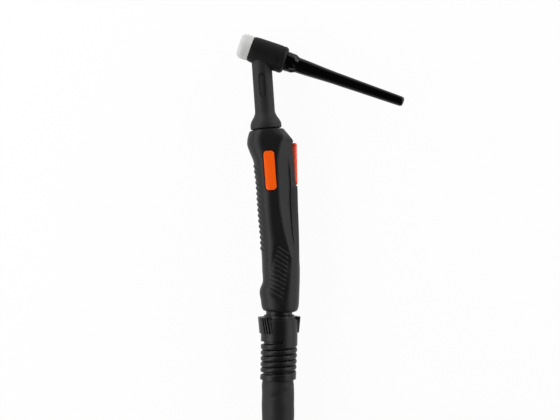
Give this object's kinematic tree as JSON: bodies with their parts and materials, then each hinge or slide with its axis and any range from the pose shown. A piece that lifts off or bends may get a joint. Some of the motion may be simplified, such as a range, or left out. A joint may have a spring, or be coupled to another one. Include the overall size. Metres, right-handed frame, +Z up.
{
  "type": "tig torch",
  "caption": "Air-cooled TIG welding torch with long back cap, trigger handle, ball-jointed bend relief and sleeved cable in a tied coil with its connectors.",
  "frame": {"origin": "point on the flat side of the handle that rests on the bench, near the handle's middle", "axes": "+Y along the handle towards the head, +X towards the trigger side, +Z up from the bench, square to the torch's parting plane"},
  "size_m": [0.4427, 0.7921, 0.0785],
  "materials": {
    "insulator": "satin white fluoropolymer",
    "brass": "machined brass",
    "copper": "drawn copper tube",
    "head_rubber": "matte moulded black silicone rubber",
    "neck_rubber": "matte moulded dark grey silicone rubber",
    "cap_gloss": "glossy black phenolic",
    "seal": "black seal rubber",
    "handle_plastic": "fine textured dark grey plastic",
    "label_orange": "satin orange plastic, bare",
    "trigger_orange": "red-orange plastic with fine ribs",
    "steel": "zinc plated steel",
    "nylon": "natural nylon",
    "switch_black": "black plastic",
    "support_black": "satin black flexible plastic",
    "cable_rubber": "black cable rubber",
    "sleeve": "matte dark grey cable sleeve with soft wrinkles",
    "tie": "black woven hook and loop strap",
    "connector_black": "black moulded rubber"
  },
  "bodies": {
    "root": {"ball_joint": "support_black", "cable_support": "support_black", "cable_core": "cable_rubber", "cable_run": "sleeve", "cable_coil": "sleeve", "coil_tie_1": "tie", "coil_tie_2": "tie", "coil_tie_3": "tie", "end_boot": "cable_rubber", "connector_shell": "connector_black", "connector_pin": "brass", "control_lead": "cable_rubber", "control_plug": "connector_black", "control_plug_ring": "steel"},
    "seat": {"ball_seat": "nylon"},
    "torch": {"head_core": "brass", "head_jacket": "head_rubber", "heat_shield": "insulator", "neck_sleeve": "neck_rubber", "neck_tube": "copper", "power_coupling": "brass", "handle_shell_upper": "handle_plastic", "handle_shell_lower": "handle_plastic", "label_plate_upper": "label_orange", "label_plate_lower": "label_orange", "handle_screw_1": "steel", "handle_screw_2": "steel", "handle_screw_3": "steel", "inner_power_cable": "cable_rubber", "inner_control_lead": "cable_rubber", "trigger_pin": "steel", "trigger_spring": "steel", "switch_carrier": "nylon", "switch_body": "switch_black"},
    "trigger": {"trigger": "trigger_orange"},
    "plunger": {"switch_plunger": "nylon"},
    "cap_carriage": {"cap_o_ring": "seal"},
    "back_cap": {"back_cap": "cap_gloss"}
  },
  "joints": [
    {"name": "handle_tilt", "type": "hinge", "parent": "root", "child": "seat", "pos_m": [0.0072, -0.092, 0.019], "axis": [0, 0, 1], "range_deg": [-10, 10]},
    {"name": "handle_swivel", "type": "hinge", "parent": "seat", "child": "torch", "pos_m": [0.0072, -0.092, 0.019], "axis": [0, 1, 0], "range_deg": [-90, 90]},
    {"name": "trigger_press", "type": "hinge", "parent": "torch", "child": "trigger", "pos_m": [0.0175, 0.029, 0.019], "axis": [0, 0, 1], "range_deg": [0, 3], "stiffness_Nm_per_rad": 0.6, "springref_deg": -2.86},
    {"name": "plunger_travel", "type": "slide", "parent": "torch", "child": "plunger", "axis": [-1, 0, 0], "range_m": [0, 0.0012]},
    {"name": "cap_travel", "type": "slide", "parent": "torch", "child": "cap_carriage", "axis": [0.9438, -0.3305, 0], "range_m": [0, 0.0042]},
    {"name": "back_cap_turn", "type": "hinge", "parent": "cap_carriage", "child": "back_cap", "pos_m": [0.01407, 0.14892, 0.019], "axis": [0.9438, -0.3305, 0], "range_deg": [0, 1440]}
  ],
  "couplings": [
    {"joint": "plunger_travel", "follows": "trigger_press", "m_per_rad": 0.021},
    {"joint": "cap_travel", "follows": "back_cap_turn", "m_per_rad": 0.00015915}
  ]
}
